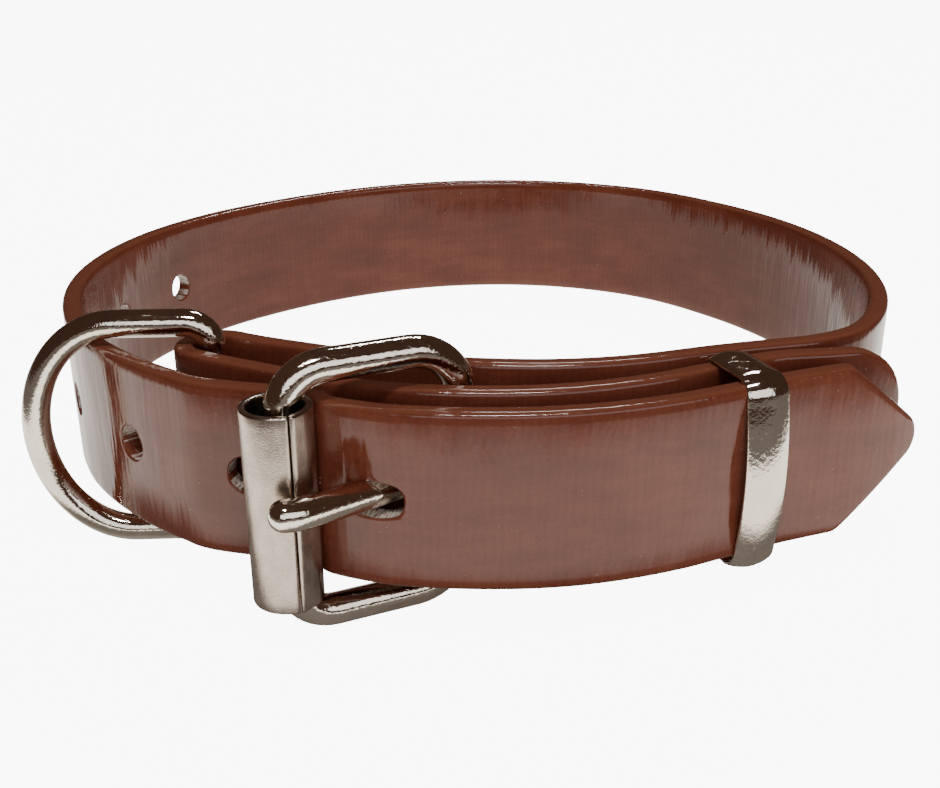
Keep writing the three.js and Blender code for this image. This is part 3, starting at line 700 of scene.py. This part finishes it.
def rounded_box(half_first, half_second, radius, pitch_first, pitch_second):
    """Section of a band: a rectangle with quarter-round corners, as points (first, second) round it."""
    a = places([-half_first + radius, half_first - radius], [pitch_first])
    b = places([-half_second + radius, half_second - radius], [pitch_second])
    turn = np.linspace(0, np.pi / 2, 5)[1:-1]
    top = np.stack([a, np.full_like(a, half_second)], -1)
    over = np.stack([half_first - radius + radius * np.sin(turn),
                     half_second - radius + radius * np.cos(turn)], -1)
    side = np.stack([np.full_like(b, half_first), -b], -1)
    under = over[::-1] * (1, -1)
    half = np.vstack([top, over, side, under])
    return np.vstack([half, -half])


def rolled_sheet():
    """Surface of the roller: its wall's rounded section, (inset, height), carried round the bar. At an
    angle from the corner the wall stands at the roller's radius, or within the seam's spread on the
    corner's straight flank."""
    wall = rounded_box(roller_wall / 2, roller_long / 2, roller_round, sheet_pitch, roller_pitch)
    edge = seam_gap + seam_round * (1 - np.cos(np.linspace(0, np.pi / 2, edge_steps)))
    flank = np.concatenate([edge, np.linspace(edge[-1], seam_spread, flank_steps)[1:]])
    turn = np.concatenate([flank, np.linspace(seam_spread, 2 * np.pi - seam_spread, round_steps)[1:-1],
                           2 * np.pi - flank[::-1]])
    from_corner = np.minimum(turn, 2 * np.pi - turn)
    full = np.clip((from_corner - seam_gap) / seam_round, 0, 1)[:, None]
    inset = roller_wall / 2 + wall[None, :, 0] * (1 - (1 - full) ** 2) ** 0.5
    radius = (roller_wide / 2 - inset) / np.cos(np.maximum(seam_spread - from_corner, 0))[:, None]
    angle = math.atan2(frame_out[1], frame_out[0]) + seam_lean + turn[:, None]
    points = np.stack([roller_middle[0] + radius * np.cos(angle), roller_middle[1] + radius * np.sin(angle),
                       np.repeat(buckle_height - roller_drop + wall[None, :, 1], len(turn), 0)], -1)
    lay = np.stack([turn[:, None] * roller_wide / 2 + 0 * radius, np.repeat(wall[None, :, 1], len(turn), 0),
                    inset], -1)
    return points.reshape(-1, 3), quads(len(turn), len(wall), False), lay.reshape(-1, 3)


satin_dark, satin_light = (0.40, 0.335, 0.285, 1), (0.60, 0.515, 0.445, 1)
satin_depth = 0.00006


def satin(tone):
    """Satin nickel plate on rolled sheet: a fine speckle, cloudy wear and a few pits."""
    lay = tone.node("ShaderNodeAttribute", {"attribute_name": "lay"}, {}, "Vector")
    marks = lay.noise((2.6, 4.2, 3.0), 3.0, 0.6)
    wear = lay.noise((0.5, 0.35, 1.0), 4.0)
    pits = lay.noise((3.6, 3.6, 3.6), 2.0)
    colour = (marks * 0.4 + wear * 0.6).ramp(0.3, 0.72).mixed(satin_dark, satin_light)
    rough = 0.15 + wear * 0.10 + marks * 0.05
    normal = tone.node("ShaderNodeBump", {}, {
        "Strength": 0.6, "Distance": satin_depth, "Height": marks * 0.5 + wear * 0.8 + pits * 0.3})
    return {"Base Color": colour, "Roughness": rough, "Normal": normal}


satin_plate = new_finish("Satin nickel plate", {"Metallic": 1.0}, satin)
metal_piece("buckle_roller_sheet", "buckle_roller", "collar", rolled_sheet(), satin_plate)

# Prong: one nickel-plated wire with a round blunt end. Its other end is flattened and closed to an eye on the
# heel bar; the shank comes out through the strap's slot and the tail's hole and rests on the roller.
eye_wide, eye_round, eye_pitch, eye_sides = 5.5, 0.45, 0.8, 64
shank_start, shank_share, shank_steps, shank_sides = 0.1, 0.6, 24, 32


def prong_shape():
    """Surface of the shank: circles across a smooth line from the eye over the roller, shrinking on a
    quarter round at the blunt end; and of the eye: a rounded box section carried round the heel bar."""
    eye = frame_wire / 2 + clearance
    route = np.stack([heel + shank_run * (eye + shank_start), heel + (prong_crest - heel) * shank_share,
                      prong_crest, prong_end])
    far = np.linalg.norm(prong_end - heel)
    rise = buckle_height + prong_rise * np.linalg.norm(route - heel, axis=1) / far
    line = smooth_line(np.column_stack([route, rise]), shank_steps)
    radius = np.full(len(line), prong_wire / 2)
    dome = np.linspace(0, np.pi / 2, 9)[1:]
    onward = unit(line[-1] - line[-2])
    line = np.vstack([line[:1], line, line[-1] + onward * (prong_wire / 2 * np.sin(dome))[:, None]])
    radius = np.concatenate([[0], radius, prong_wire / 2 * np.cos(dome)])
    tangent = np.gradient(line, axis=0)
    tangent[:2] = tangent[2]
    tangent = unit(tangent)
    side = unit(np.cross(tangent, (0, 0, 1.0)))
    up = np.cross(side, tangent)
    angle = np.linspace(0, 2 * np.pi, shank_sides, endpoint=False)
    shank = line[:, None] + radius[:, None, None] * (np.cos(angle)[None, :, None] * side[:, None]
                                                     + np.sin(angle)[None, :, None] * up[:, None])
    wall = rounded_box(eye_wall / 2, eye_wide / 2, eye_round, sheet_pitch, eye_pitch)
    turn = np.linspace(0, 2 * np.pi, eye_sides, endpoint=False)[:, None]
    out = eye + eye_wall / 2 + wall[None, :, 0]
    ring = np.stack([heel[0] + out * np.cos(turn), heel[1] + out * np.sin(turn),
                     np.repeat(buckle_height + wall[None, :, 1], eye_sides, 0)], -1)
    faces = np.vstack([quads(len(line), shank_sides, False),
                       quads(eye_sides, len(wall), True) + len(line) * shank_sides])
    return np.vstack([shank.reshape(-1, 3), ring.reshape(-1, 3)]), faces


metal_piece("buckle_prong_wire", "buckle_prong", "collar", prong_shape(), bright)

# Keeper: a nickel-plated band with a domed outside, closed round the strap's middle layer and the tail, its
# front bowed by the tail behind it.
keeper_wide, keeper_wall, keeper_corner = 6.2, 1.1, 3.6
keeper_play, keeper_drop, keeper_bow = 0.6, 1.3, 1.2
keeper_dome, keeper_round, keeper_pitch = 0.75, 0.2, 0.3
bow_steps, bend_steps, band_pitch = 24, 9, 1.0


def keeper_band():
    """Surface of the keeper: a rounded box section, (wall, width), whose outer side falls away with the
    square of the distance from its middle, carried round an upright outline with round corners whose front
    is a shallow bow: a curve pulled out by a point in the middle."""
    rear = behind(keeper_turn) - keeper_play - keeper_wall / 2
    front = behind(keeper_turn) + before(keeper_turn) + 4 * half_thick + keeper_play + keeper_wall / 2
    half = half_wide + clearance + keeper_drop / 2 + keeper_wall / 2
    corner_round = keeper_corner - keeper_wall / 2
    t = np.linspace(0, 1, bow_steps)[1:-1, None]
    up = half - corner_round
    low_end, pull, high_end = (
        np.array([front, -up]), np.array([front + 2 * keeper_bow, 0]), np.array([front, up]))
    bow = low_end * (1 - t) ** 2 + 2 * t * (1 - t) * pull + high_end * t ** 2
    outline = filled(np.vstack([
        bent(front - corner_round, up, corner_round, corner_round, 0, 90, bend_steps),
        bent(rear + corner_round, up, corner_round, corner_round, 90, 90, bend_steps),
        bent(rear + corner_round, -up, corner_round, corner_round, 180, 90, bend_steps),
        bent(front - corner_round, -up, corner_round, corner_round, 270, 90, bend_steps), bow]), band_pitch)
    tangent = unit(np.roll(outline, -1, axis=0) - np.roll(outline, 1, axis=0))
    inward = leftward(tangent)
    wall = rounded_box(keeper_wall / 2, keeper_wide / 2, keeper_round, sheet_pitch, keeper_pitch)
    outer_share = np.clip(0.5 - wall[:, 0] / keeper_wall, 0, 1)
    wall[:, 0] += keeper_dome * outer_share * (2 * wall[:, 1] / keeper_wide) ** 2
    flat = outline[:, None] + inward[:, None] * wall[None, :, :1]
    foot = face_point(keeper_turn)
    out = leftward(unit(face_point(keeper_turn + 0.5) - face_point(keeper_turn - 0.5)))
    beside = np.array([out[1], -out[0]])
    plan = foot + out * flat[..., :1] + beside * np.repeat(wall[None, :, 1:], len(outline), 0)
    points = np.concatenate([plan, half_wide - keeper_drop / 2 + flat[..., 1:]], -1)
    return points.reshape(-1, 3), quads(len(outline), len(wall), True)


metal_piece("keeper_band", "keeper", "collar", keeper_band(), bright)

# Rivet: a turned steel pin under the tail, through the inner and the middle layer, with a low domed head
# on each side. It holds the return end to the loop.
pin_wide, head_wide, head_thick, head_rim, rivet_slack, pin_sides = 4.0, 7.0, 0.9, 0.1, 0.55, 48


def turned_pin():
    """Surface of revolution round the pin's axis: along it the radius is the shank's, and at each head that
    of a low dome with a rounded rim."""
    seat = half_thick * 2 + behind(rivet_turn) / 2 + rivet_slack
    dome = np.linspace(0, np.pi / 2, 8)
    head = np.stack([head_wide / 2 * np.cos(dome) ** 0.5, seat + head_thick * np.sin(dome)], -1)
    under = np.array([[pin_wide / 2, seat], [head_wide / 2 - head_rim, seat]])
    half = np.vstack([under, head])
    profile = np.vstack([(half * (1, -1))[::-1], half])
    turn = np.linspace(0, 2 * np.pi, pin_sides, endpoint=False)
    out = leftward(unit(face_point(rivet_turn + 0.5) - face_point(rivet_turn - 0.5)))
    centre = outside(rivet_turn, behind(rivet_turn) / 2)
    beside = np.array([-out[1], out[0]])
    axis, side = np.array([*out, 0.0]), np.array([*beside, 0.0])
    points = (np.array([*centre, half_wide]) + profile[:, None, 1:] * axis
              + profile[:, None, :1] * (np.cos(turn)[None, :, None] * side
                                        + np.sin(turn)[None, :, None] * np.array([0, 0, 1.0])))
    return points.reshape(-1, 3), quads(len(profile), pin_sides, False)


metal_piece("return_rivet_pin", "return_rivet", "collar", turned_pin(), bright)

# Ring: one round nickel-plated wire bent to a D, its ends butted on the straight bar. The bar turns in the
# strap's fold, and a leash clips to the bow.
dee_wire, dee_high, dee_straight, dee_round, dee_corner = 4.1, 33.0, 13.9, 13.1, 3.8
dee_lean, dee_drop, dee_slack = math.radians(182.5), 0.8, 0.5
dee_run = np.array([math.cos(dee_lean), math.sin(dee_lean)])
dee_bar = fold_centre + dee_run * (fold_bore / 2 - dee_wire / 2 - dee_slack)
dee_half, bow_points = dee_high / 2, 64
dee_outline = filled(np.vstack([
    bent(dee_corner, dee_half - dee_corner, dee_corner, dee_corner, 180, -90, bend_steps),
    bent(dee_straight, 0, dee_round, dee_half, 90, -180, bow_points),
    bent(dee_corner, dee_corner - dee_half, dee_corner, dee_corner, 270, -90, bend_steps)]), wire_pitch)
metal_piece("dee_ring_wire", "dee_ring", "dee", closed_wire(
    upright(dee_outline, dee_bar, dee_run, half_wide - dee_drop), dee_wire / 2, dee_run), bright)

# Floor: a plain white table that glows from within as a light table does, but its glow is painted light:
# brightest in a ring round the collar, with painted shade dimmer inside its loop, close round it and under
# its front, and a painted pool of light that goes dark further away. The mix lets the view see it whiter than
# the collar's gloss does, as in a picture exposed for the collar. Distances in it are in metres.
floor_half, floor_gap = 6.0, 0.00005
floor_mesh = bpy.data.meshes.new("floor")
floor_corners = np.array([(-1, -1), (1, -1), (1, 1), (-1, 1)]) * floor_half
floor_mesh.from_pydata(np.column_stack([floor_corners, np.full(4, -floor_gap)]).tolist(), [], [(0, 1, 2, 3)])
floor = bpy.data.objects.new("floor", floor_mesh)
bpy.context.scene.collection.objects.link(floor)
white = bpy.data.materials.new("White table")
white.use_nodes = True
white.node_tree.nodes.clear()
tone = Tone(white.node_tree)
table_place = tone.node("ShaderNodeTexCoord", {}, {}, 3)
away = tone.node("ShaderNodeVectorMath", {"operation": "LENGTH"}, {0: table_place}, 1)
backward = tone.node("ShaderNodeSeparateXYZ", {}, {0: table_place}, 1)
# The collar's shade is painted into the glow: inside_loop dims it inside the loop, outside_loop dims it close
# round the collar, front_shade dims it under the collar's front, and the far ramp fades it to dark as a
# painted pool of light.
inside_loop = 1 - away.ramp(0.058, 0.074)
outside_loop = 0.78 + away.ramp(0.076, 0.106) * 0.42
front_shade = (1 - away.ramp(0.082, 0.092)) * (1 - backward.ramp(-0.047, -0.034))
glow = ((1 - away.ramp(0.127, 0.166) * 0.97) * outside_loop
        * (1 - inside_loop * 0.34) * (1 - front_shade * 0.92))
glow_far, glow_near = (0.020, 0.010, 0.006, 1), (1, 0.945, 0.865, 1)
seen = tone.node("ShaderNodeLightPath", {}, {}, 0)
table = tone.node("ShaderNodeBsdfPrincipled", {}, {
    "Base Color": (0.05, 0.05, 0.05, 1), "Roughness": 0.9,
    "Emission Color": glow.mixed(glow_far, glow_near), "Emission Strength": 2.2})
table_seen = tone.node("ShaderNodeBsdfPrincipled", {}, {
    "Base Color": (0.8, 0.8, 0.8, 1), "Roughness": 0.9,
    "Emission Color": (1, 1, 1, 1), "Emission Strength": 9.0})
surface = tone.node("ShaderNodeMixShader", {}, {0: seen, 1: table, 2: table_seen})
tone.give(white.node_tree.nodes.new("ShaderNodeOutputMaterial").inputs[0], surface)
floor_mesh.materials.append(white)

# Light: a wide soft lamp in front, a thin one above, a thin one behind, and a dim room. Each lamp is a
# rectangle that looks at the collar: its place, its width and height in metres, and its power in watts.
aim_height = 0.02
lamps = [
    ("lamp_front", (0.36, -1.04, 0.56), 1.75, 0.62, 6.2),
    ("lamp_above", (0.05, -0.40, 0.95), 0.34, 0.025, 5.0),
    ("lamp_back", (0.10, 0.55, 0.62), 0.24, 0.03, 1.5),
]
for name, place, wide, tall, power in lamps:
    lamp = bpy.data.lights.new(name, "AREA")
    lamp.shape, lamp.size, lamp.size_y, lamp.energy = "RECTANGLE", wide, tall, power
    lamp_object = bpy.data.objects.new(name, lamp)
    beam = unit(np.array([0, 0, aim_height]) - place)
    across = unit(np.cross(beam, (0, 0, 1.0)))
    lamp_object.matrix_world = Matrix(np.vstack([
        np.column_stack([across, np.cross(across, beam), -beam, place]), [0, 0, 0, 1]]).tolist())
    bpy.context.scene.collection.objects.link(lamp_object)
room = bpy.data.worlds.new("room")
room.use_nodes = True
room.node_tree.nodes["Background"].inputs[0].default_value = (0.060, 0.032, 0.022, 1)
bpy.context.scene.world = room

# Camera: in front, 202 mm from the collar's middle and 81 mm up in the collar's own frame, looking down 22
# degrees in it, which is 25 degrees in the room because the collar leans back.
camera_at, pitch, roll = np.array([0.0, -202.0, 81.257]), math.radians(22.064), math.radians(0.3546)
ahead = np.array([0, math.cos(pitch), -math.sin(pitch)])
level_up = np.array([0, math.sin(pitch), math.cos(pitch)])
level_right = np.array([1.0, 0, 0])
right = math.cos(roll) * level_right - math.sin(roll) * level_up
above = math.sin(roll) * level_right + math.cos(roll) * level_up
eye_place = stand(camera_at)
axes = [(stand(camera_at + axis) - eye_place) * 1000 for axis in (right, above, -ahead)]
camera = bpy.data.objects.new("camera", bpy.data.cameras.new("camera"))
camera.data.sensor_width = 36.0
camera.data.lens = 44.26
camera.data.clip_start = 0.01
camera.matrix_world = Matrix(np.vstack([np.column_stack([*axes, eye_place]), [0, 0, 0, 1]]).tolist())
bpy.context.scene.collection.objects.link(camera)
bpy.context.scene.camera = camera
